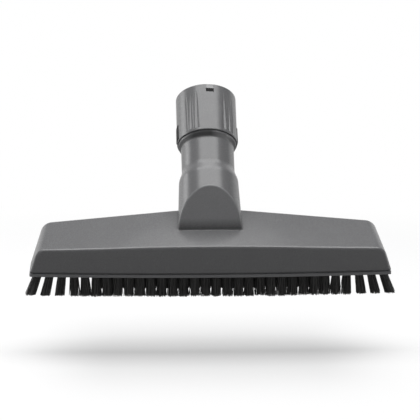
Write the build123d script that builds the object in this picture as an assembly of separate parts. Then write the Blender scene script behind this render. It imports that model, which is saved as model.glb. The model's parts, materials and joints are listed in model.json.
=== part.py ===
from build123d import *
import os
from math import atan, cos, degrees, radians, sin, sqrt, tan

# Hood, millimetres, built with its front edge at y 0 and the floor at z 0
hood_width = 273.2
hood_depth = 44.8
hood_wall = 2.6
hood_draft = 1.0
front_bow = 8.4
end_lean = 17.6
end_taper = 1.0
roof_corner_r = 9.5
front_height = 20.7
front_fall = 0.066
front_round = 70.0
ridge_height = 44.0
ridge_fall = 0.089
ridge_round = 24.0
front_edge_r = 2.3
rear_edge_r = 2.4
bottom_edge_r = 1.3

# Neck, along its own axis; the level 0 is the lower edge of the grip collar
neck_lean = 42.0
neck_setback = 25.1
neck_rise = 86.5
neck_wall = 3.6
tube_length = 19.7
shoulder_inset = 0.9
shoulder_height = 4.8
shoulder_land = 0.2
foot_step = 2.5
foot_blend = 10.6
foot_spread = 2.4
foot_length = 56.0
foot_wall = 2.8
facet_back = 26.2
facet_edge_r = 1.5
seam_r = 0.9
spigot_wall = 2.1
spigot_lead = 0.6
bead_rise = 0.9
bead_height = 2.4
bead_ramp = 0.6
bead_lead = 0.8
bead_gap = 1.15
bead_play = 0.4

# Brush plate and its screws
lip_height = 2.6
lip_inset = 0.4
lip_corner_r = 2.5
lip_groove = 0.3
lip_groove_inset = 1.7
plate_body = 4.6
plate_fit = 0.25
slot_width = 12.0
slot_to_screw = 8.0
inner_screw_x = 60.0
end_screw_inset = 15.0
screw_r = 1.6
screw_length = 14.0
screw_head_r = 3.4
screw_head_height = 2.2
screw_head_edge_r = 0.7
screw_head_play = 0.2
screw_hole_play = 0.25
screw_recess = 2.6
cross_long = 2.6
cross_wide = 0.7
cross_deep = 0.6
boss_r = 3.9
screw_play = 0.08

# Bristle tufts
tuft_length = 15.3
tuft_pitch = 8.2
tuft_inset = 5.9
tuft_root_r = 3.05
tuft_mouth_r = 3.5
tuft_tip_r = 3.9
tuft_root = 4.0
tuft_play = 0.06
end_tuft_inset = 6.4
end_tuft_pitch = 9.2
end_tuft_leans = (7.0, 13.0, 20.0)
rear_tuft_inset = 6.5
rear_row_half = 82.0
anchor_length = 4.6
anchor_width = 0.5
anchor_height = 0.9

# Grip collar
collar_length = 41.4
collar_wall = 3.1
collar_turn = 5.7
collar_play = 0.1
collar_lift = 0.35
journal_height = 9.5
rim_edge_r = 0.8
flute_angles = (26.5, 38.0, 49.5)
flute_r = 2.8
flute_depth = 0.95
flute_low = 2.4
flute_drop = 5.4
window_width = 6.1
window_drop = 7.1
window_height = 3.2
notch_depth = 0.8
notch_sill = 0.2

# Lock sleeve, whose socket takes the suction tube, and seal ring
socket_r = 17.5
sleeve_wall = 2.35
sleeve_play = 0.05
sleeve_drop = 1.6
socket_step = 2.0
socket_lead = 0.8
relief_depth = 0.3
relief_rise = 1.4
key_play = 0.2
key_depth = 2.7
key_root = 0.5
seal_play = 0.1
seal_height = 1.25

# Release rockers and their leaf springs
rocker_low = 1.8
rocker_high = 14.6
rocker_half = 4.7
rocker_play = 0.3
rocker_edge_r = 0.5
rocker_proud = 0.45
rocker_slope = 0.1
pocket_wall = 1.2
rocker_gap = 1.3
pivot_drop = 2.0
pivot_inset = 0.2
pivot_r = 0.7
pivot_play = 0.05
pivot_half = 5.8
arm_half = 2.2
arm_play = 0.2
arm_thick = 1.2
arm_root = 2.0
arm_rise = 1.0
arm_swing = 0.8
hook_rise = 2.0
hook_height = 1.6
hook_half = 2.0
hook_reach = 0.4
hook_play = 0.4
leaf_half = 2.0
leaf_rise = 1.3
leaf_span = 5.0
leaf_thick = 0.25
leaf_gap = 0.05

# Levels and places that follow from the sizes above
plate_bottom = tuft_length
hood_bottom = plate_bottom + lip_height
plate_top = hood_bottom + plate_body
half_width = hood_width / 2
bow_r = (half_width**2 + front_bow**2) / (2 * front_bow)
neck_place = Pos(0, hood_depth + neck_setback, hood_bottom + neck_rise) * Rot(-neck_lean, 0, 0)
facet_y = hood_depth - facet_back
tall = 3 * ridge_height

# Radii of the pieces on the neck, one inside the other
sleeve_r = socket_r + sleeve_wall
chamber_r = sleeve_r + sleeve_play
collar_r = chamber_r + collar_wall
bead_r = chamber_r - bead_play
spigot_r = bead_r - bead_rise
neck_bore_r = spigot_r - spigot_wall
tube_r = neck_bore_r + neck_wall
shoulder_r = collar_r - shoulder_inset
foot_top_r = tube_r + foot_step
foot_low_r = foot_top_r + foot_spread
journal_r = spigot_r + collar_play
pocket_floor = journal_r + pocket_wall
rocker_back = pocket_floor + rocker_gap
pivot_depth = rocker_back - pivot_inset
arm_back = chamber_r + arm_play
arm_front = arm_back + arm_thick
arm_slot_depth = arm_front + arm_swing
hook_tip = socket_r - hook_reach

# Levels of the pieces on the neck, from the collar's lower edge
bead_low = journal_height + collar_lift + bead_gap
bead_high = bead_low + bead_height
spigot_height = bead_high + spigot_lead
seal_low = spigot_height - collar_lift + seal_play
sleeve_low = seal_low + seal_height
sleeve_top = collar_length - sleeve_drop
socket_floor = sleeve_low + socket_step
hook_low = socket_floor + hook_rise
hook_high = hook_low + hook_height
arm_top = hook_high + arm_rise
relief_top = hook_high + relief_rise
window_low = collar_length - window_drop
flute_high = collar_length - flute_drop
pivot_level = rocker_high - pivot_drop
leaf_low = rocker_low + leaf_rise


def bow(x):
    return bow_r - sqrt(bow_r**2 - x**2)


def front_y(x):
    return lip_inset + tuft_inset + bow(x)


def rear_y(x):
    return hood_depth - rear_tuft_inset


# The screws stand between the slots, and both lie midway between the two rows of tufts
outer_screw_x = half_width - end_screw_inset
slot_half = inner_screw_x - slot_to_screw
side_slot_in = inner_screw_x + slot_to_screw
side_slot_out = outer_screw_x - slot_to_screw
slot_y = (front_y(side_slot_out) + rear_y(0)) / 2

# The straight part of the front row is divided evenly, near the pitch
straight_half = half_width - end_tuft_inset - len(end_tuft_leans) * end_tuft_pitch
front_half_count = int(straight_half / tuft_pitch + 0.501)
row_step = straight_half / (front_half_count - 0.5)
rear_half_count = int(rear_row_half / row_step + 0.501)


# Outline of the hood in the plane across it at depth y, set in all round by the inset
def hood_section(y, inset, low):
    share = y / hood_depth
    fall = front_fall + (ridge_fall - front_fall) * share
    rounding = front_round + (ridge_round - front_round) * share
    height = front_height + (ridge_height - front_height) * share
    roof_lean = atan((ridge_height - front_height) / hood_depth)
    apex = hood_bottom + height + fall * rounding / 2 - inset / cos(roof_lean)
    lean = tan(radians(end_lean))
    side = half_width - end_taper * share - inset / cos(radians(end_lean))
    low_side = side - lean * (low - hood_bottom)
    corner_x = (side - lean * (apex - hood_bottom)) / (1 - lean * fall)
    corner_z = apex - fall * corner_x
    points = [(-low_side, low), (low_side, low), (corner_x, corner_z), (0, apex), (-corner_x, corner_z)]
    face = make_face(Polyline(*points, close=True))
    corners = face.vertices().sort_by(Axis.Y)[2:4]
    face = fillet(corners, max(roof_corner_r - inset, hood_wall / 2))
    top = face.vertices().sort_by(Axis.Y)[-1]
    face = fillet(top, rounding / sin(atan(fall)))
    return Plane(origin=(0, y, 0), x_dir=(1, 0, 0), z_dir=(0, -1, 0)) * face


# Outline of the hood seen from above, with its bowed front
def plan_face(inset, side):
    bow_side = bow_r - sqrt((bow_r - inset) ** 2 - side**2)
    rear = hood_depth - inset
    front = ThreePointArc((-side, bow_side), (0, inset), (side, bow_side))
    rear_side = side - end_taper * (rear - bow_side) / hood_depth
    rest = Polyline((side, bow_side), (rear_side, rear), (-rear_side, rear), (-side, bow_side))
    return make_face(Curve() + [front, rest])


def hood_block(inset, low):
    sections = [hood_section(-hood_wall, inset, low), hood_section(hood_depth + hood_wall, inset, low)]
    body = loft(sections, ruled=True)
    plan = Pos(0, 0, low) * plan_face(inset, half_width + hood_wall)
    return body & extrude(plan, tall, taper=hood_draft)


def hood_outer():
    block = hood_block(0, hood_bottom)
    for last, radius in ((0, front_edge_r), (-1, rear_edge_r)):
        wall = block.faces().sort_by(Axis.Y)[last]
        rim = [e for e in wall.edges() if e.bounding_box().max.Z > hood_bottom + bottom_edge_r / 2]
        block = fillet(rim, radius)
    under = block.faces().sort_by(Axis.Z)[0]
    return fillet(under.edges(), bottom_edge_r)


# Half profile of the neck turned about its axis
def neck_turned(edges):
    return revolve(Plane.XZ * make_face(Curve() + edges), Axis.Z)


def neck_outer():
    tube_low = -shoulder_height - tube_length
    foot_top = tube_low - foot_blend
    foot_low = foot_top - foot_length
    return neck_turned(
        [
            Polyline((0, foot_low), (foot_low_r, foot_low), (foot_top_r, foot_top)),
            Spline((foot_top_r, foot_top), (tube_r, tube_low), tangents=[(-foot_spread, foot_length), (0, 1)]),
            Line((tube_r, tube_low), (tube_r, -shoulder_height)),
            Spline((tube_r, -shoulder_height), (shoulder_r, -shoulder_land), tangents=[(0, 1), (0, 1)]),
            Polyline(
                (shoulder_r, -shoulder_land),
                (shoulder_r, 0),
                (spigot_r, 0),
                (spigot_r, bead_low),
                (bead_r, bead_low + bead_ramp),
                (bead_r, bead_high - bead_lead),
                (spigot_r, bead_high),
                (spigot_r, spigot_height),
                (0, spigot_height),
                (0, foot_low),
            ),
        ]
    )


def neck_inner():
    tube_low = -shoulder_height - tube_length
    foot_top = tube_low - foot_blend
    foot_low = foot_top - 0.82 * foot_length
    low_r = foot_top_r + 0.82 * (foot_low_r - foot_top_r) - foot_wall
    return neck_turned(
        [
            Polyline(
                (0, foot_low),
                (low_r, foot_low),
                (foot_top_r - foot_wall, foot_top),
                (neck_bore_r, tube_low),
                (neck_bore_r, spigot_height + spigot_lead),
                (0, spigot_height + spigot_lead),
                (0, foot_low),
            )
        ]
    )


def behind(y):
    return Pos(0, y + tall, 0) * Box(2 * tall, 2 * tall, 4 * tall)


def above(z):
    return Pos(0, 0, z + tall) * Box(4 * tall, 4 * tall, 2 * tall)


# Edges along which two joined bodies meet
def seam_edges(joined, first, second):
    def touches(point, body):
        return min(f.distance_to(point) for f in body.faces()) < 0.01

    return [e for e in joined.edges() if touches(e @ 0.5, second) and touches(e @ 0.5, first)]


def screw_places():
    return [(s * x, slot_y) for x in (inner_screw_x, outer_screw_x) for s in (-1, 1)]


def head_housing():
    neck = (neck_place * neck_outer()) & behind(facet_y) & above(hood_bottom + bottom_edge_r)
    facet = neck.faces().sort_by(Axis.Y)[0]
    neck = fillet([e for e in facet.edges() if e.geom_type != GeomType.LINE], facet_edge_r)
    hood = hood_outer()
    body = hood + neck
    body = fillet(seam_edges(body, hood, neck), seam_r)
    cavity = hood_block(hood_wall, plate_bottom)
    duct = (neck_place * neck_inner()) & behind(facet_y + hood_wall)
    body = body - cavity - duct
    inside = hood_block(hood_wall / 2, plate_bottom)
    for x, y in screw_places():
        post = Pos(x, y, plate_top + tall / 2) * Cylinder(boss_r, tall)
        body += post & inside
    for x, y in screw_places():
        deep = screw_length + screw_r
        body -= Pos(x, y, plate_bottom + deep / 2) * Cylinder(screw_r + screw_play, deep)
    return body


# Places of the tufts as x and outward lean
def end_places(side):
    count = len(end_tuft_leans)
    first = half_width - end_tuft_inset - (count - 1) * end_tuft_pitch
    return [(side * (first + n * end_tuft_pitch), side * a) for n, a in enumerate(end_tuft_leans)]


def front_places():
    return [(s * (n + 0.5) * row_step, 0) for n in range(front_half_count) for s in (-1, 1)]


# The rear tufts stand behind the gaps of the front row
def rear_places():
    return [(n * row_step, 0) for n in range(-rear_half_count, rear_half_count + 1)]


def at_tuft(x, y, lean):
    return Location((x, y, plate_bottom), (0, -lean, 0))


def tuft_shape(lean):
    slant = tan(radians(abs(lean)))
    long = tuft_length / cos(radians(lean)) + tuft_tip_r * slant
    mouth = -tuft_mouth_r * slant
    edge = Polyline(
        (0, tuft_root),
        (tuft_root_r, tuft_root),
        (tuft_root_r, mouth),
        (tuft_mouth_r, mouth),
        (tuft_tip_r, -long),
        (0, -long),
        close=True,
    )
    return revolve(Plane.XZ * make_face(edge), Axis.Z)


def tuft_group(places, row_y):
    floor = above(0)
    return [(at_tuft(x, row_y(x), lean) * tuft_shape(lean)) & floor for x, lean in places]


def anchor_group(places, row_y):
    bar = Pos(0, 0, tuft_root + anchor_height / 2) * Box(anchor_length, anchor_width, anchor_height)
    return [at_tuft(x, row_y(x), lean) * bar for x, lean in places]


# One layer of the plate's edge, which lies against the hood's lower rim
def flange_layer(inset, low, height):
    layer = extrude(Pos(0, 0, low) * plan_face(inset, half_width - inset), height)
    upright = [e for e in layer.edges() if e.bounding_box().size.Z > height / 2]
    return fillet(upright, lip_corner_r)


def brush_plate():
    flange = flange_layer(lip_inset, plate_bottom, lip_height - lip_groove)
    flange += flange_layer(lip_groove_inset, hood_bottom - lip_groove, lip_groove)
    slab = Pos(0, 0, hood_bottom + plate_body / 2) * Box(2 * hood_width, 4 * hood_depth, plate_body)
    plate = flange + (hood_block(hood_wall + plate_fit, plate_bottom) & slab)
    middle = hood_bottom
    slots = [(0, 2 * slot_half)]
    side_mid = (side_slot_in + side_slot_out) / 2
    slots += [(s * side_mid, side_slot_out - side_slot_in) for s in (-1, 1)]
    for x, long in slots:
        mouth = SlotOverall(long, slot_width)
        plate -= extrude(Pos(x, slot_y, middle - tall / 2) * mouth, tall)
    hole_r = tuft_root_r + tuft_play
    deep = tuft_root + anchor_height + tuft_play
    hole = Pos(0, 0, (deep - lip_height) / 2) * Cylinder(hole_r, deep + lip_height)
    rows = [(front_places(), front_y), (rear_places(), rear_y)]
    rows += [(end_places(s), front_y) for s in (-1, 1)]
    holes = [at_tuft(x, row_y(x), lean) * hole for places, row_y in rows for x, lean in places]
    plate -= holes
    for x, y in screw_places():
        plate -= Pos(x, y, plate_bottom + screw_recess / 2) * Cylinder(screw_head_r + screw_head_play, screw_recess)
        plate -= Pos(x, y, middle) * Cylinder(screw_r + screw_hole_play, 4 * plate_body)
    return plate


def plate_screws():
    cross = Box(cross_long, cross_wide, 2 * cross_deep) + Box(cross_wide, cross_long, 2 * cross_deep)
    head_mid = plate_bottom + screw_recess - screw_head_height / 2
    shank_mid = plate_bottom + screw_recess + (screw_length - screw_recess) / 2
    solids = []
    for x, y in screw_places():
        head = Pos(x, y, head_mid) * Cylinder(screw_head_r, screw_head_height)
        low = head.faces().sort_by(Axis.Z)[0]
        head = fillet(low.edges(), screw_head_edge_r)
        head -= Pos(x, y, head_mid - screw_head_height / 2) * cross
        shank = Pos(x, y, shank_mid) * Cylinder(screw_r, screw_length - screw_recess)
        solids.append(head + shank)
    return solids


# Everything on the collar is built about z with its front towards -y, then turned and placed
def on_neck(shape):
    return neck_place * Pos(0, 0, collar_lift) * Rot(0, 0, collar_turn) * shape


def sector(angle, shape):
    return Rot(0, 0, angle) * shape


def grip_collar():
    outline = Polyline(
        (journal_r, 0),
        (collar_r, 0),
        (collar_r, collar_length),
        (chamber_r, collar_length),
        (chamber_r, journal_height),
        (journal_r, journal_height),
        close=True,
    )
    ring = revolve(Plane.XZ * make_face(outline), Axis.Z)
    ends = ring.edges().filter_by(GeomType.CIRCLE)
    ring = fillet([e for e in ends if abs(e.radius - collar_r) < 0.01], rim_edge_r)
    flute_long = flute_high - flute_low
    run_out = Rot(degrees(atan(flute_depth / flute_long)), 0, 0)
    hollow = Pos(0, 0, flute_long) * Cylinder(flute_r, 2 * flute_long)
    cutter = Pos(0, flute_depth - flute_r - collar_r, flute_low) * run_out * hollow
    angles = [a + 180 * k for a in flute_angles for k in (0, 1)]
    ring -= [sector(s * a, cutter) for a in angles for s in (-1, 1)]
    window_deep = 3 * collar_wall
    window = Pos(0, -collar_r, window_low + window_height / 2) * Box(window_width, window_deep, window_height)
    ring -= window
    nail_top = collar_length + collar_play
    nail_low = window_low + window_height
    nail = Polyline(
        (-collar_r - notch_depth, nail_low),
        (-collar_r + notch_sill, nail_low),
        (-collar_r + notch_depth, nail_top),
        (-collar_r - notch_depth, nail_top),
        close=True,
    )
    nail_face = Plane.YZ * make_face(nail)
    ring -= extrude(nail_face, window_width / 2, both=True)
    reach = 2 * collar_wall
    for side in (-1, 1):
        span = rocker_high - rocker_low
        mid = (rocker_high + rocker_low) / 2
        low_x = (pocket_floor + collar_r + reach) / 2
        low_wide = collar_r + reach - pocket_floor
        ring -= Pos(side * low_x, 0, mid) * Box(low_wide, 2 * rocker_half, span)
        open_mid = (journal_height + rocker_high) / 2
        open_x = (hook_tip + collar_r + reach) / 2
        open_wide = collar_r + reach - hook_tip
        ring -= Pos(side * open_x, 0, open_mid) * Box(open_wide, 2 * rocker_half, rocker_high - journal_height)
        slot_mid = (rocker_high + arm_top) / 2
        slot_x = (hook_tip + arm_slot_depth) / 2
        slot_long = arm_top - rocker_high + 2 * hook_play
        slot_wide = arm_slot_depth - hook_tip
        ring -= Pos(side * slot_x, 0, slot_mid) * Box(slot_wide, 2 * (arm_half + hook_play), slot_long)
        pin = Rot(90, 0, 0) * Cylinder(pivot_r + pivot_play, 2 * (pivot_half + collar_play))
        ring -= Pos(side * pivot_depth, 0, pivot_level) * pin
    return ring


def lock_sleeve():
    relief_r = socket_r + relief_depth
    outline = Polyline(
        (neck_bore_r, sleeve_low),
        (sleeve_r, sleeve_low),
        (sleeve_r, sleeve_top),
        (socket_r + socket_lead, sleeve_top),
        (socket_r, sleeve_top - 2 * socket_lead),
        (socket_r, relief_top),
        (relief_r, relief_top),
        (relief_r, socket_floor),
        (neck_bore_r, socket_floor),
        close=True,
    )
    ring = revolve(Plane.XZ * make_face(outline), Axis.Z)
    key_y = (socket_r + sleeve_r) / 2 + key_depth / 2
    key_mid = window_low + window_height / 2
    key = Pos(0, -key_y, key_mid) * Box(
        window_width - 2 * key_play, sleeve_wall + key_depth, window_height - 2 * key_play
    )
    hollow = Pos(0, 0, key_mid) * Cylinder(sleeve_r - key_root, 2 * window_height)
    ring += key - hollow
    slot_high = hook_high + 2 * hook_play
    slot_low = hook_low - 2 * hook_play
    for side in (-1, 1):
        gap = Box(4 * sleeve_wall, 2 * (hook_half + hook_play), slot_high - slot_low)
        ring -= Pos(side * socket_r, 0, (slot_high + slot_low) / 2) * gap
    return ring


def seal_ring():
    ring = Cylinder(sleeve_r, seal_height) - Cylinder(neck_bore_r, seal_height)
    return Pos(0, 0, seal_low + seal_height / 2) * ring


# Right-hand rocker; the other one is the same piece turned half round
def release_rocker():
    low = rocker_low + rocker_play
    high = rocker_high - rocker_play
    wide = rocker_half - rocker_play
    mid = (low + high) / 2
    block = Pos(rocker_back + collar_wall, 0, mid) * Box(2 * collar_wall, 2 * wide, high - low)
    crown_r = collar_r + rocker_proud
    pad = block & (Pos(0, 0, mid) * Cone(crown_r + rocker_slope, crown_r, high - low))
    face = pad.faces().sort_by(Axis.X)[-1]
    pad = fillet(face.edges(), rocker_edge_r)
    arm_low = pivot_level - arm_root
    arm = Pos((arm_back + arm_front) / 2, 0, (arm_low + arm_top) / 2) * Box(
        arm_thick, 2 * arm_half, arm_top - arm_low
    )
    hook_wide = arm_back + arm_thick / 2 - hook_tip
    hook = Pos(hook_tip + hook_wide / 2, 0, hook_low + hook_height / 2) * Box(
        hook_wide, 2 * hook_half, hook_height
    )
    pin = Pos(pivot_depth, 0, pivot_level) * (Rot(90, 0, 0) * Cylinder(pivot_r, 2 * pivot_half))
    return pad + arm + hook + pin


def rocker_spring():
    mid = leaf_low + leaf_span / 2
    high = leaf_low + leaf_span
    foot = pocket_floor + leaf_gap
    crown = rocker_back - leaf_gap
    edges = [
        ThreePointArc((foot + leaf_thick, leaf_low), (crown, mid), (foot + leaf_thick, high)),
        Line((foot + leaf_thick, high), (foot, high)),
        ThreePointArc((foot, high), (crown - leaf_thick, mid), (foot, leaf_low)),
        Line((foot, leaf_low), (foot + leaf_thick, leaf_low)),
    ]
    return extrude(Plane.XZ * make_face(Curve() + edges), leaf_half, both=True)


nodes = {
    "head_housing": head_housing(),
    "brush_plate": brush_plate(),
    "plate_screws": plate_screws(),
    "front_row_tufts": tuft_group(front_places(), front_y),
    "left_end_tufts": tuft_group(end_places(-1), front_y),
    "right_end_tufts": tuft_group(end_places(1), front_y),
    "rear_row_tufts": tuft_group(rear_places(), rear_y),
    "front_anchors": anchor_group(front_places() + end_places(-1) + end_places(1), front_y),
    "rear_anchors": anchor_group(rear_places(), rear_y),
    "grip_collar": on_neck(grip_collar()),
    "lock_sleeve": on_neck(lock_sleeve()),
    "seal_ring": on_neck(seal_ring()),
    "release_rocker_right": on_neck(release_rocker()),
    "release_rocker_left": on_neck(sector(180, release_rocker())),
    "rocker_spring_right": on_neck(rocker_spring()),
    "rocker_spring_left": on_neck(sector(180, rocker_spring())),
}


def as_shape(node):
    if isinstance(node, list):
        return Compound([s.solid() for s in node])
    return node.solid()


# The origin is the middle of the footprint's box, on the floor
shapes = {name: as_shape(node) for name, node in nodes.items()}
boxes = [shape.bounding_box() for shape in shapes.values()]
box_low = [min(getattr(b.min, a) for b in boxes) for a in "XYZ"]
box_high = [max(getattr(b.max, a) for b in boxes) for a in "XYZ"]
home = Pos(0, -(box_low[1] + box_high[1]) / 2, 0)
os.makedirs("parts", exist_ok=True)
for name, shape in shapes.items():
    export_step(home * shape, f"parts/{name}.step")
    print(name, round(shape.volume, 1))
print("moved along y by", round(home.position.Y, 4))
print("box", [round(v, 3) for v in box_low + box_high])
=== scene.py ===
import bmesh
import bpy
import json
import math
import random
from mathutils import Matrix, Vector

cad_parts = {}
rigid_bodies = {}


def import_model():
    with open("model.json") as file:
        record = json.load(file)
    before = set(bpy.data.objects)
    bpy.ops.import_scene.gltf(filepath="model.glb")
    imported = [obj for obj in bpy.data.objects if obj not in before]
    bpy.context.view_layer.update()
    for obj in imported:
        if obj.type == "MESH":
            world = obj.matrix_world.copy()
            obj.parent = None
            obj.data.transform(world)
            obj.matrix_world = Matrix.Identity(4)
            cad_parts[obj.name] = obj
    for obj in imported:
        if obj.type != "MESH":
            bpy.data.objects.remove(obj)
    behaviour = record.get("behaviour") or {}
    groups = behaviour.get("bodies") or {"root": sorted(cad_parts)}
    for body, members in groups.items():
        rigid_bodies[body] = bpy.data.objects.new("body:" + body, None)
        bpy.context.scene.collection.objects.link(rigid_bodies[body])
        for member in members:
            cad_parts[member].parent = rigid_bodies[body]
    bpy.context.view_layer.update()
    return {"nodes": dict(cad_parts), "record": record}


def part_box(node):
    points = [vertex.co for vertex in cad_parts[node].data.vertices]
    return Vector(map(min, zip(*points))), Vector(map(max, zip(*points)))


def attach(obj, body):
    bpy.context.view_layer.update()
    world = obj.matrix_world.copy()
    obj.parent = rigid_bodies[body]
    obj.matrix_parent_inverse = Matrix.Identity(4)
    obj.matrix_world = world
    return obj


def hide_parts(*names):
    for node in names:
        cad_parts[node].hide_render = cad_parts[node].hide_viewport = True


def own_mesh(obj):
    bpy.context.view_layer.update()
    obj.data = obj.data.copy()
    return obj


for leftover in list(bpy.data.objects):  # the start-up scene's cube, lamp and camera
    bpy.data.objects.remove(leftover, do_unlink=True)
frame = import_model()
scene = bpy.context.scene
scene.view_settings.view_transform = "Standard"


# helpers for node trees

mixColours = (6, 7)  # the Mix node's sockets for two colours
mixedColour = 2


def fill(tree, socket, value):  # a link where the value comes out of another node
    if isinstance(value, bpy.types.NodeSocket):
        tree.links.new(value, socket)
    else:
        socket.default_value = value


def putNode(tree, kind, props=None, **values):  # From_Min is the socket named From Min
    node = tree.nodes.new(kind)
    for key, value in (props or {}).items():
        setattr(node, key, value)
    for key, value in values.items():
        fill(tree, node.inputs[key.replace("_", " ")], value)
    return node


def calc(tree, operation, *terms):
    node = putNode(tree, "ShaderNodeMath", {"operation": operation})
    for socket, value in zip(node.inputs, terms):
        fill(tree, socket, value)
    return node.outputs[0]


def times(tree, value, *others):
    for other in others:
        value = calc(tree, "MULTIPLY", value, other)
    return value


def toRange(tree, value, low, high, fromLow, fromHigh, shape="LINEAR"):
    ends = {"From_Min": fromLow, "From_Max": fromHigh, "To_Min": low, "To_Max": high}
    node = putNode(tree, "ShaderNodeMapRange", {"interpolation_type": shape}, Value=value, **ends)
    return node.outputs["Result"]


def twoTone(tree, value, first, second):
    node = putNode(tree, "ShaderNodeMix", {"data_type": "RGBA"}, Factor=value)
    for socket, colour in zip(mixColours, (first, second)):
        node.inputs[socket].default_value = (*colour, 1.0)
    return node.outputs[mixedColour]


def axes(tree, spot):
    return putNode(tree, "ShaderNodeSeparateXYZ", Vector=spot).outputs


# camera at the photograph's angle

cameraSpec = {
    "azimuth": -2.7,  # degrees, negative is to the left of the head
    "elevation": 10.0,
    "roll": 0.1,
    "distance": 2.6,
    "lens": 295.2,
    "sensor": 36.0,
    "clip": (0.05, 60.0),
    "aim": (0.0003, -0.0274, 0.0616),
}


def makeCamera(spec):
    azimuth = math.radians(spec["azimuth"])
    elevation = math.radians(spec["elevation"])
    flat = math.cos(elevation)
    back = Vector((math.sin(azimuth) * flat, -math.cos(azimuth) * flat, math.sin(elevation)))
    lensData = bpy.data.cameras.new("photoCamera")
    lensData.lens = spec["lens"]
    lensData.sensor_width = spec["sensor"]
    lensData.clip_start, lensData.clip_end = spec["clip"]
    camera = bpy.data.objects.new("photoCamera", lensData)
    scene.collection.objects.link(camera)
    look = (-back).to_track_quat("-Z", "Y").to_matrix().to_4x4()
    roll = Matrix.Rotation(math.radians(spec["roll"]), 4, "Z")
    camera.matrix_world = Matrix.Translation(Vector(spec["aim"]) + back * spec["distance"]) @ (look @ roll)
    scene.camera = camera


makeCamera(cameraSpec)
print("camera set")


# lamps, surround and floor

softboxes = {
    "overheadBox": {
        "place": (0.05, -0.05, 1.35), "aim": (0.05, -0.05, 0.0), "size": (1.72, 1.1), "glow": 5.2,
    },
    "leftBox": {
        "place": (-1.15, 0.26, 0.34), "aim": (0.0, 0.0, 0.08), "size": (1.1, 0.6), "glow": 3.6,
    },
    "rightBox": {
        "place": (1.2, -0.12, 0.14), "aim": (0.0, 0.0, 0.05), "size": (0.5, 0.3), "glow": 2.9,
    },
}


def hangSoftbox(name, spec):
    wide, tall = spec["size"]
    lamp = bpy.data.lights.new(name, "AREA")
    lamp.shape = "RECTANGLE"
    lamp.size, lamp.size_y = wide, tall
    lamp.energy = spec["glow"] * math.pi * wide * tall  # the glow stays when the size changes
    box = bpy.data.objects.new(name, lamp)
    scene.collection.objects.link(box)
    place = Vector(spec["place"])
    box.location = place
    box.rotation_euler = (Vector(spec["aim"]) - place).to_track_quat("-Z", "Y").to_euler()


for boxName, boxSpec in softboxes.items():
    hangSoftbox(boxName, boxSpec)

surroundSpec = {
    "rise": (0.08, 0.22),  # heights between which the white fades into the dim studio above
    "back": (0.45, 0.72),  # how far back the white begins to stand higher, and where it is highest
    "backRise": 0.45,
    "white": (1.02, 1.02, 1.02),
    "studio": (0.13, 0.13, 0.135),
}


def makeSurround(spec):
    world = bpy.data.worlds.new("studioSurround")
    scene.world = world
    world.use_nodes = True
    tree = world.node_tree
    tree.nodes.clear()
    way = axes(tree, putNode(tree, "ShaderNodeTexCoord").outputs["Generated"])
    back = toRange(tree, way["Y"], 0.0, 1.0, *spec["back"], shape="SMOOTHSTEP")
    height = calc(tree, "SUBTRACT", way["Z"], times(tree, back, spec["backRise"]))
    rise = toRange(tree, height, 0.0, 1.0, *spec["rise"], shape="SMOOTHSTEP")
    tone = twoTone(tree, rise, spec["white"], spec["studio"])
    glow = putNode(tree, "ShaderNodeBackground", Color=tone, Strength=1.0)
    putNode(tree, "ShaderNodeOutputWorld", Surface=glow.outputs[0])


makeSurround(surroundSpec)

floorSpec = {
    "drop": 0.0463,  # the head hangs this far above the floor in the photograph
    "half": 6.0,
    "nearTone": 0.274,
    "bounceTone": 0.16,
    "lift": 0.60,
    "poolDepth": 0.225,  # painted wide soft shade under the head, besides its own cast shadow
    "poolY": -0.046,
    "poolFlat": 0.072,
    "poolReach": (0.047, 0.091),
    "fade": (0.42, 0.62),  # radii between which the floor turns plain white
    "farGloss": 0.8,
}


def paintedPoolShade(tree, spot, spec):  # painted shade: 1 on the open floor, less in the painted pool of shade
    reachX, reachY = spec["poolReach"]
    at = axes(tree, spot)
    beyond = calc(tree, "SUBTRACT", calc(tree, "ABSOLUTE", at["X"]), spec["poolFlat"])
    outX = calc(tree, "DIVIDE", calc(tree, "MAXIMUM", beyond, 0.0), reachX)
    outY = calc(tree, "DIVIDE", calc(tree, "SUBTRACT", at["Y"], spec["poolY"]), reachY)
    outside = calc(tree, "ADD", times(tree, outX, outX), times(tree, outY, outY))
    pool = calc(tree, "EXPONENT", times(tree, outside, -1.0))
    return calc(tree, "SUBTRACT", 1.0, times(tree, pool, spec["poolDepth"]))


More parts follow.
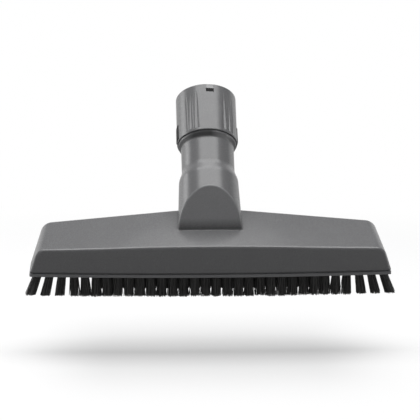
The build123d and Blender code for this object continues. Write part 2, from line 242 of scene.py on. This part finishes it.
def floorFinish(spec):
    material = bpy.data.materials.new("paleFloor")
    material.use_nodes = True
    tree = material.node_tree
    tree.nodes.clear()
    path = putNode(tree, "ShaderNodeLightPath").outputs
    seen = calc(tree, "MAXIMUM", path["Is Camera Ray"], path["Is Transmission Ray"])
    bright = calc(tree, "MAXIMUM", seen, path["Is Glossy Ray"])
    spot = putNode(tree, "ShaderNodeTexCoord").outputs["Object"]
    away = putNode(tree, "ShaderNodeVectorMath", {"operation": "LENGTH"}, Vector=spot).outputs["Value"]
    far = toRange(tree, away, 0.0, 1.0, *spec["fade"], shape="SMOOTHSTEP")
    shade = times(tree, seen, paintedPoolShade(tree, spot, spec))
    bounce = times(tree, calc(tree, "SUBTRACT", 1.0, seen), spec["bounceTone"])
    tone = calc(tree, "MULTIPLY_ADD", shade, spec["nearTone"], bounce)
    matt = putNode(tree, "ShaderNodeBsdfDiffuse", Color=tone)
    lift = putNode(tree, "ShaderNodeEmission", Strength=times(tree, shade, spec["lift"]))
    near = putNode(tree, "ShaderNodeAddShader")
    farTone = calc(tree, "MULTIPLY_ADD", seen, 1.0 - spec["farGloss"], spec["farGloss"])
    white = putNode(tree, "ShaderNodeEmission", Strength=farTone)
    blend = putNode(tree, "ShaderNodeMixShader", Fac=times(tree, bright, far))
    for shader, socket in (
        (matt, near.inputs[0]), (lift, near.inputs[1]), (near, blend.inputs[1]), (white, blend.inputs[2]),
    ):
        tree.links.new(shader.outputs[0], socket)
    putNode(tree, "ShaderNodeOutputMaterial", Surface=blend.outputs[0])
    return material


def makeFloor(spec):
    half, level = spec["half"], -spec["drop"]
    corners = [(-half, -half, level), (half, -half, level), (half, half, level), (-half, half, level)]
    mesh = bpy.data.meshes.new("paleFloor")
    mesh.from_pydata(corners, [], [(0, 1, 2, 3)])
    mesh.materials.append(floorFinish(spec))
    floor = bpy.data.objects.new("paleFloor", mesh)
    scene.collection.objects.link(floor)


makeFloor(floorSpec)
print("lamps, surround and floor set")


# finishes, all on Object coordinates in metres

noiseSpan = (0.3, 0.7)  # most of a noise texture's values lie between these


def newFinish(name):
    material = bpy.data.materials.new(name)
    material.use_nodes = True
    tree = material.node_tree
    tree.nodes.clear()
    shader = putNode(tree, "ShaderNodeBsdfPrincipled")
    putNode(tree, "ShaderNodeOutputMaterial", Surface=shader.outputs[0])
    return material, tree, shader, putNode(tree, "ShaderNodeTexCoord").outputs["Object"]


def noise(tree, spot, scale, detail, rough=0.5):
    node = putNode(tree, "ShaderNodeTexNoise", Vector=spot, Scale=scale, Detail=detail, Roughness=rough)
    return node.outputs["Fac"]


def stretch(tree, spot, factors):
    return putNode(tree, "ShaderNodeMapping", Vector=spot, Scale=factors).outputs["Vector"]


def spanNoise(tree, value, low=0.0, high=1.0):
    return toRange(tree, value, low, high, *noiseSpan)


def dress(tree, shader, tone, gloss):
    tree.links.new(tone, shader.inputs["Base Color"])
    tree.links.new(gloss, shader.inputs["Roughness"])


def grainBump(tree, shader, height, spec):
    node = putNode(tree, "ShaderNodeBump", Height=height, Strength=spec["bump"], Distance=spec["bumpDepth"])
    tree.links.new(node.outputs["Normal"], shader.inputs["Normal"])


def gained(tree, tone, gain):
    return putNode(tree, "ShaderNodeVectorMath", {"operation": "SCALE"}, Vector=tone, Scale=gain).outputs[0]


def alongWay(tree, spot, way):
    node = putNode(tree, "ShaderNodeVectorMath", {"operation": "DOT_PRODUCT"}, Vector=spot)
    node.inputs[1].default_value = way
    return node.outputs["Value"]


# painted light and shade on the mouldings: a paler flat face with painted shade at its foot, painted shade
# on the shoulder under the collar, and painted light in the rim notch

joints = {joint["name"]: joint for joint in frame["record"]["behaviour"]["joints"]}
neckWay = Vector(joints["collar_swivel"]["axis"])
collarSpots = [corner.co.dot(neckWay) for corner in frame["nodes"]["grip_collar"].data.vertices]

facetSpec = {
    "y": -0.0385, "foot": 0.0494, "soft": 0.0008,  # the face lies in front of y and above its foot
    # painted shade at the face's foot (footGain), painted light above it (gain)
    "footGain": 0.5, "rise": 0.008, "gain": 1.9,
}


def facetPaintedLight(tree, spot, tone, spec):  # painted light and shade: paler flat face on the neck's foot, painted shade along its lower edge
    at = axes(tree, spot)
    foot = spec["foot"]
    ahead = toRange(tree, at["Y"], 1.0, 0.0, spec["y"], spec["y"] + spec["soft"])
    above = toRange(tree, at["Z"], 0.0, 1.0, foot - spec["soft"], foot)
    gain = toRange(tree, at["Z"], spec["footGain"], spec["gain"], foot, foot + spec["rise"])
    mask = times(tree, ahead, above)
    return gained(tree, tone, calc(tree, "MULTIPLY_ADD", mask, calc(tree, "SUBTRACT", gain, 1.0), 1.0))


shoulderSpec = {
    "deep": 0.0036, "fade": 0.0058,  # below the collar's lower edge
    "left": (-0.021, -0.011), "right": (0.002, 0.008),
    # loss is how deep the painted shade goes; matt adds roughness in the same band
    "loss": 0.72, "matt": 0.7,
}


def shoulderPaintedShade(tree, spot, spec):  # painted shade: how much light the shoulder under the collar lacks
    edge = min(collarSpots)
    under = toRange(tree, alongWay(tree, spot, neckWay), 0.0, 1.0, edge - spec["fade"], edge - spec["deep"])
    across = axes(tree, spot)["X"]
    left = toRange(tree, across, 0.0, 1.0, *spec["left"])
    right = toRange(tree, across, 1.0, 0.0, *spec["right"])
    return times(tree, under, times(tree, left, right), spec["loss"])


notchSpec = {
    "half": 0.0027,
    "drops": (0.0039, 0.0007),  # lower and upper end, below the collar's upper edge
    # gain sets how bright the painted light in the cut is
    "soft": 0.0003, "gain": 1.5,
}


def notchPaintedLight(tree, spot, tone, spec):  # painted light: the cut above the window in the collar's rim is made paler, as if lit from above
    backWay = Vector(joints["rocker_right_press"]["axis"])
    sideWay = backWay.cross(neckWay)
    centre = Vector(joints["collar_swivel"]["pos_m"])
    middle = centre.dot(backWay)
    soft, half = spec["soft"], spec["half"]
    low, high = (max(collarSpots) - drop for drop in spec["drops"])
    offside = calc(tree, "SUBTRACT", alongWay(tree, spot, sideWay), centre.dot(sideWay))
    inside = toRange(tree, calc(tree, "ABSOLUTE", offside), 1.0, 0.0, half - soft, half)
    height = alongWay(tree, spot, neckWay)
    above = toRange(tree, height, 0.0, 1.0, low, low + soft)
    below = toRange(tree, height, 1.0, 0.0, high - soft, high)
    front = toRange(tree, alongWay(tree, spot, backWay), 1.0, 0.0, middle - soft, middle)
    mask = times(tree, above, below, times(tree, inside, front))
    return gained(tree, tone, calc(tree, "MULTIPLY_ADD", mask, spec["gain"] - 1.0, 1.0))


greyHousing = {
    "dark": (0.112, 0.1125, 0.115), "light": (0.116, 0.1165, 0.119), "specular": 0.43,
    "cloudScale": 38.0, "cloudDetail": 3.0,
    "grainScale": 2600.0, "grainDetail": 3.0, "grainRough": 0.6,
    "gloss": (0.266, 0.278), "glossGrain": 0.03,
    "bump": 0.25, "bumpDepth": 0.00004,
}
headGrey = {**greyHousing, "facet": facetSpec, "shoulder": shoulderSpec}
collarGrey = {**greyHousing, "cloudScale": 60.0, "notch": notchSpec}
plateGrey = {
    **greyHousing,
    "dark": (0.142, 0.1425, 0.146), "light": (0.158, 0.1585, 0.162),
    "gloss": (0.36, 0.42),
}
mouldedBlack = {
    **greyHousing,
    "dark": (0.010, 0.010, 0.0105), "light": (0.014, 0.014, 0.0145), "specular": 0.07,
    "gloss": (0.42, 0.52),
}


def mouldedPlastic(name, spec):  # satin moulding: fine spark grain, faint cloudiness, roughness that drifts
    material, tree, shader, spot = newFinish(name)
    cloud = noise(tree, spot, spec["cloudScale"], spec["cloudDetail"])
    grain = noise(tree, spot, spec["grainScale"], spec["grainDetail"], spec["grainRough"])
    tone = twoTone(tree, spanNoise(tree, cloud), spec["dark"], spec["light"])
    sparkle = spanNoise(tree, grain, -spec["glossGrain"], spec["glossGrain"])
    gloss = calc(tree, "ADD", spanNoise(tree, cloud, *spec["gloss"]), sparkle)
    # painted light and shade on parts of the moulding, where the spec gives them
    if "facet" in spec:
        tone = facetPaintedLight(tree, spot, tone, spec["facet"])
    if "shoulder" in spec:
        dim = shoulderPaintedShade(tree, spot, spec["shoulder"])
        tone = gained(tree, tone, calc(tree, "SUBTRACT", 1.0, dim))
        gloss = calc(tree, "MULTIPLY_ADD", dim, spec["shoulder"]["matt"], gloss)
    if "notch" in spec:
        tone = notchPaintedLight(tree, spot, tone, spec["notch"])
    dress(tree, shader, tone, gloss)
    shader.inputs["Specular IOR Level"].default_value = spec["specular"]
    grainBump(tree, shader, grain, spec)
    return material


steelSpec = {
    "dark": (0.46, 0.46, 0.47), "light": (0.62, 0.62, 0.63), "gloss": (0.24, 0.42),
    "blotchScale": 420.0, "blotchDetail": 2.0,
    "streak": (300.0, 2600.0, 2600.0), "streakDetail": 3.0,
    "bump": 0.2, "bumpDepth": 0.00003,
}


def steelFinish(name, spec):  # plated or drawn steel with fine streaks along one way
    material, tree, shader, spot = newFinish(name)
    streak = noise(tree, stretch(tree, spot, spec["streak"]), 1.0, spec["streakDetail"])
    blotch = noise(tree, spot, spec["blotchScale"], spec["blotchDetail"])
    tone = twoTone(tree, spanNoise(tree, blotch), spec["dark"], spec["light"])
    dress(tree, shader, tone, spanNoise(tree, streak, *spec["gloss"]))
    shader.inputs["Metallic"].default_value = 1.0
    grainBump(tree, shader, streak, spec)
    return material


rubberSpec = {
    "dark": (0.014, 0.014, 0.014), "light": (0.03, 0.03, 0.029), "gloss": (0.62, 0.8),
    "dustScale": 900.0, "dustDetail": 4.0,
    "bump": 0.3, "bumpDepth": 0.00005,
}


def rubberFinish(name, spec):
    material, tree, shader, spot = newFinish(name)
    dust = noise(tree, spot, spec["dustScale"], spec["dustDetail"])
    tone = twoTone(tree, spanNoise(tree, dust), spec["dark"], spec["light"])
    dress(tree, shader, tone, spanNoise(tree, dust, *spec["gloss"]))
    grainBump(tree, shader, dust, spec)
    return material


bristleSpec = {
    "dark": (0.009, 0.009, 0.0092), "light": (0.085, 0.0836, 0.0815), "gloss": (0.34, 0.5), "specular": 0.45,
    "scuff": (5200.0, 5200.0, 240.0), "scuffDetail": 2.0,
    "scuffShare": 0.5, "ownShare": 0.6, "span": (0.15, 0.95),
}


def bristleFinish(name, spec):  # black nylon filament, each a little different, scuffed lengthways
    material, tree, shader, spot = newFinish(name)
    own = putNode(tree, "ShaderNodeAttribute", {"attribute_name": "tone"}).outputs["Fac"]
    scuff = noise(tree, stretch(tree, spot, spec["scuff"]), 1.0, spec["scuffDetail"])
    mixed = calc(tree, "MULTIPLY_ADD", scuff, spec["scuffShare"], times(tree, own, spec["ownShare"]))
    tone = twoTone(tree, toRange(tree, mixed, 0.0, 1.0, *spec["span"]), spec["dark"], spec["light"])
    dress(tree, shader, tone, spanNoise(tree, scuff, *spec["gloss"]))
    shader.inputs["Specular IOR Level"].default_value = spec["specular"]
    return material


finishes = {
    "housing_plastic": mouldedPlastic("greyHousing", headGrey),
    "collar_plastic": mouldedPlastic("greyCollar", collarGrey),
    "plate_plastic": mouldedPlastic("greyPlate", plateGrey),
    "black_plastic": mouldedPlastic("blackMoulding", mouldedBlack),
    "seal_rubber": rubberFinish("sealRubber", rubberSpec),
    "screw_steel": steelFinish("screwSteel", steelSpec),
    "anchor_wire": steelFinish("anchorWire", {**steelSpec, "gloss": (0.3, 0.45)}),
    "spring_steel": steelFinish("springSteel", {**steelSpec, "streak": (2600.0, 300.0, 300.0)}),
    "bristle": bristleFinish("bristleNylon", bristleSpec),
}
for part in frame["record"]["subparts"]:
    node = frame["nodes"][part["node"]]
    node.data.materials.clear()
    node.data.materials.append(finishes[part["material_slot"]])
print("finishes set on", len(frame["nodes"]), "nodes")


# bristles: every tuft is a bundle of separate filaments grown by one node tree

tuftSpec = {
    "pitch": 0.008208, "frontHalf": 13, "rearHalf": 10,  # tufts on each side of the middle
    "endPitch": 0.0092, "endLeans": (7.0, 13.0, 20.0),  # degrees, outwards
    "inLeans": (3.6, 3.0, 1.8),  # degrees, inwards, from the end of the straight row
    "bowRadius": 1.1149,  # the front row follows the bowed front
    "tipRadius": 0.0039, "spread": 0.0043, "spreadPower": 0.62,
    "rootRadius": 0.0032, "rootDepth": 0.0038,
    "filamentRadius": 0.00021, "taper": 0.15, "perTuft": 120, "sides": 5, "knots": 5,
    "ragged": 0.0015, "shyness": 2.2, "uneven": 0.0005, "clearance": 0.0001,
    "leanJitter": 1.1, "ringJitter": 0.05, "angleJitter": 0.25,
    "wander": 0.00075, "endWander": 0.00035, "bendPower": 2.0,
    "seed": 7, "seedStep": 31,
}
goldenAngle = 2.399963  # radians, spreads a tuft's filaments evenly
fullTurn = 6.28
draws = ("ring", "angle", "short", "wanderX", "wanderY", "tone")  # each is drawn with a seed of its own
drawEnds = (2, 3)  # the Random Value node's sockets for numbers
drawn = 1

tuftInputs = {
    "Filaments": "NodeSocketInt", "Root Radius": "NodeSocketFloat", "Tip Radius": "NodeSocketFloat",
    "Root Depth": "NodeSocketFloat", "Filament Radius": "NodeSocketFloat", "Ragged": "NodeSocketFloat",
    "Wander": "NodeSocketFloat", "Seed": "NodeSocketInt", "Material": "NodeSocketMaterial",
}


def growTree(spec):
    tree = bpy.data.node_groups.new("bristleTuft", "GeometryNodeTree")
    face = tree.interface
    face.new_socket("Geometry", in_out="INPUT", socket_type="NodeSocketGeometry")
    for label, kind in tuftInputs.items():
        face.new_socket(label, in_out="INPUT", socket_type=kind)
    face.new_socket("Geometry", in_out="OUTPUT", socket_type="NodeSocketGeometry")
    given = putNode(tree, "NodeGroupInput").outputs

    def chance(label, low, high):  # one random number for every filament
        seed = calc(tree, "ADD", given["Seed"], draws.index(label) + 1)
        node = putNode(tree, "FunctionNodeRandomValue", {"data_type": "FLOAT"}, Seed=seed)
        for socket, end in zip(drawEnds, (low, high)):
            node.inputs[socket].default_value = end
        return node.outputs[drawn]

    def keep(geometry, name, value, kind="FLOAT"):
        props = {"data_type": kind, "domain": "POINT"}
        return putNode(
            tree, "GeometryNodeStoreNamedAttribute", props, Geometry=geometry, Name=name, Value=value
        ).outputs[0]

    def recall(name, kind="FLOAT"):
        return putNode(tree, "GeometryNodeInputNamedAttribute", {"data_type": kind}, Name=name).outputs[0]

    # one point for every filament, with its place in the tuft
    dots = putNode(tree, "GeometryNodeMeshToPoints", Mesh=given["Geometry"]).outputs[0]
    copies = putNode(
        tree, "GeometryNodeDuplicateElements", {"domain": "POINT"}, Geometry=dots, Amount=given["Filaments"]
    ).outputs
    rank = copies["Duplicate Index"]
    jitter, swing = spec["ringJitter"], spec["angleJitter"]
    ring = calc(tree, "SQRT", calc(tree, "DIVIDE", calc(tree, "ADD", rank, 0.5), given["Filaments"]))
    ring = calc(tree, "MINIMUM", calc(tree, "ADD", ring, chance("ring", -jitter, jitter)), 1.0)
    angle = calc(tree, "ADD", times(tree, rank, goldenAngle), recall("turn"))
    angle = calc(tree, "ADD", angle, chance("angle", -swing, swing))
    points = keep(copies["Geometry"], "sideways", times(tree, ring, calc(tree, "COSINE", angle)))
    points = keep(points, "endways", times(tree, ring, calc(tree, "SINE", angle)))
    shy = calc(tree, "POWER", chance("short", 0.0, 1.0), spec["shyness"])
    points = keep(points, "short", calc(tree, "MULTIPLY_ADD", shy, given["Ragged"], recall("trim")))
    points = keep(points, "wanderX", times(tree, chance("wanderX", -1.0, 1.0), given["Wander"]))
    points = keep(points, "wanderY", times(tree, chance("wanderY", -1.0, 1.0), given["Wander"]))
    points = keep(points, "tone", chance("tone", 0.0, 1.0))
    points = keep(points, "root", putNode(tree, "GeometryNodeInputPosition").outputs[0], "FLOAT_VECTOR")

    # a line on every point
    line = putNode(tree, "GeometryNodeCurvePrimitiveLine", End=(0.0, 0.0, -1.0)).outputs[0]
    strand = putNode(tree, "GeometryNodeResampleCurve", Curve=line, Count=spec["knots"]).outputs[0]
    placed = putNode(tree, "GeometryNodeInstanceOnPoints", Points=points, Instance=strand).outputs[0]
    strands = putNode(tree, "GeometryNodeRealizeInstances", Geometry=placed).outputs[0]

    # how far along its lean each knot lies, from inside the hole to the flat trim at the floor
    along = putNode(tree, "GeometryNodeSplineParameter").outputs["Factor"]
    root = axes(tree, recall("root", "FLOAT_VECTOR"))
    lean, sideways, endways = recall("lean"), recall("sideways"), recall("endways")
    sine, cosine = calc(tree, "SINE", lean), calc(tree, "COSINE", lean)
    reach = times(tree, sideways, given["Tip Radius"], sine)
    reach = calc(tree, "DIVIDE", calc(tree, "ADD", root["Z"], reach), cosine)
    reach = calc(tree, "SUBTRACT", reach, recall("short"))
    depth = given["Root Depth"]
    travel = calc(tree, "SUBTRACT", times(tree, along, calc(tree, "ADD", reach, depth)), depth)

    # how far it stands off the tuft's middle line there
    free = calc(tree, "MAXIMUM", calc(tree, "DIVIDE", travel, root["Z"]), 0.0)
    opening = calc(tree, "POWER", free, spec["spreadPower"])
    widening = calc(tree, "SUBTRACT", given["Tip Radius"], given["Root Radius"])
    girth = calc(tree, "MULTIPLY_ADD", opening, widening, given["Root Radius"])
    girth = calc(tree, "SUBTRACT", girth, given["Filament Radius"])
    bend = calc(tree, "POWER", free, spec["bendPower"])
    offX = calc(tree, "MULTIPLY_ADD", sideways, girth, times(tree, recall("wanderX"), bend))
    offY = calc(tree, "MULTIPLY_ADD", endways, girth, times(tree, recall("wanderY"), bend))
    newX = calc(tree, "ADD", root["X"], calc(tree, "MULTIPLY_ADD", sine, travel, times(tree, cosine, offX)))
    newY = calc(tree, "ADD", root["Y"], offY)
    fall = calc(tree, "SUBTRACT", times(tree, cosine, travel), times(tree, sine, offX))
    newZ = calc(tree, "MAXIMUM", calc(tree, "SUBTRACT", root["Z"], fall), spec["clearance"])
    place = putNode(tree, "ShaderNodeCombineXYZ", X=newX, Y=newY, Z=newZ).outputs[0]
    strands = putNode(tree, "GeometryNodeSetPosition", Geometry=strands, Position=place).outputs[0]

    # round filaments, a little thinner at the tip
    radius = given["Filament Radius"]
    section = putNode(tree, "GeometryNodeCurvePrimitiveCircle", Resolution=spec["sides"], Radius=radius)
    thin = calc(tree, "SUBTRACT", 1.0, times(tree, along, spec["taper"]))
    tubes = putNode(
        tree, "GeometryNodeCurveToMesh",
        Curve=strands, Profile_Curve=section.outputs["Curve"], Scale=thin, Fill_Caps=True,
    ).outputs[0]
    smooth = putNode(tree, "GeometryNodeSetShadeSmooth", Geometry=tubes).outputs[0]
    whole = putNode(tree, "GeometryNodeRealizeInstances", Geometry=smooth).outputs[0]
    dressed = putNode(tree, "GeometryNodeSetMaterial", Geometry=whole, Material=given["Material"]).outputs[0]
    putNode(tree, "NodeGroupOutput", Geometry=dressed)
    return tree


def growTufts(name, node, places, spec, tree):  # places are (x, y, lean) of the tufts' mouths in the plate
    dice = random.Random(spec["seed"] + len(name))
    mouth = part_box("brush_plate")[0].z
    seeds = bpy.data.meshes.new(name + "Mouths")
    seeds.from_pydata([(x, y, mouth) for x, y, lean in places], [], [])
    turns = [dice.uniform(0.0, fullTurn) for place in places]
    leans = [math.radians(lean + dice.uniform(-1.0, 1.0) * spec["leanJitter"]) for x, y, lean in places]
    trims = [dice.uniform(0.0, spec["uneven"]) for place in places]
    for label, numbers in (("turn", turns), ("lean", leans), ("trim", trims)):
        seeds.attributes.new(label, "FLOAT", "POINT").data.foreach_set("value", numbers)
    base = bpy.data.objects.new(name + "Mouths", seeds)
    scene.collection.objects.link(base)
    grow = base.modifiers.new("grow", "NODES")
    grow.node_group = tree
    chosen = {
        "Filaments": spec["perTuft"], "Root Radius": spec["rootRadius"], "Tip Radius": spec["spread"],
        "Root Depth": spec["rootDepth"], "Filament Radius": spec["filamentRadius"], "Ragged": spec["ragged"],
        "Wander": spec["wander"], "Seed": spec["seed"] + len(name) * spec["seedStep"],
        "Material": finishes["bristle"],
    }
    for item in tree.interface.items_tree:
        if item.in_out == "INPUT" and item.name in chosen:
            grow[item.identifier] = chosen[item.name]
    evaluated = base.evaluated_get(bpy.context.evaluated_depsgraph_get())
    mesh = bpy.data.meshes.new_from_object(evaluated)
    base.modifiers.remove(grow)
    bpy.data.objects.remove(base)
    mesh.name = name
    piece = bpy.data.objects.new(name, mesh)
    scene.collection.objects.link(piece)
    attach(piece, "head")
    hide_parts(node)
    print(name, len(places), "tufts,", len(mesh.polygons), "faces")


def bow(x, radius):
    return radius - math.sqrt(radius * radius - x * x)


def makeBrush(spec):
    tree = growTree(spec)
    pitch, radius = spec["pitch"], spec["bowRadius"]
    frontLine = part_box("front_row_tufts")[0].y + spec["tipRadius"] - bow(pitch / 2, radius)
    rearLow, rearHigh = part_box("rear_row_tufts")
    rearLine = (rearLow.y + rearHigh.y) / 2

    def onBow(row):
        return [(x, frontLine + bow(x, radius), lean) for x, lean in row]

    upright = spec["frontHalf"] - len(spec["inLeans"])
    leans = [0.0] * upright + list(reversed(spec["inLeans"]))
    straight = [(side * (n + 0.5) * pitch, -side * lean) for n, lean in enumerate(leans) for side in (-1, 1)]
    growTufts("frontBristles", "front_row_tufts", onBow(straight), spec, tree)
    last = (spec["frontHalf"] - 0.5) * pitch
    calm = {**spec, "wander": spec["endWander"], "spread": spec["tipRadius"], "leanJitter": 0.0}
    for side, label in ((-1, "left"), (1, "right")):
        outwards = enumerate(spec["endLeans"], 1)
        ends = [(side * (last + n * spec["endPitch"]), side * lean) for n, lean in outwards]
        growTufts(label + "EndBristles", label + "_end_tufts", onBow(ends), calm, tree)
    rear = [n * pitch for n in range(-spec["rearHalf"], spec["rearHalf"] + 1)]
    growTufts("rearBristles", "rear_row_tufts", [(x, rearLine, 0.0) for x in rear], spec, tree)


makeBrush(tuftSpec)


# leaf springs: welded copies of their nodes, shaded flat, riding with the collar

springSpec = {"keep": 0.45, "weld": 0.000001}


def makeSpring(side, spec):
    name = "rocker_spring_" + side
    shape = bmesh.new()
    shape.from_mesh(frame["nodes"][name].data)
    bmesh.ops.remove_doubles(shape, verts=shape.verts, dist=spec["weld"])
    mesh = bpy.data.meshes.new(side + "LeafSpring")
    shape.to_mesh(mesh)
    shape.free()
    mesh.shade_flat()
    mesh.materials.append(finishes["spring_steel"])
    piece = bpy.data.objects.new(side + "LeafSpring", mesh)
    scene.collection.objects.link(piece)
    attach(piece, "collar")
    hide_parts(name)
    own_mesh(piece)
    print(piece.name, "flattens with its rocker")


makeSpring("right", springSpec)
makeSpring("left", springSpec)
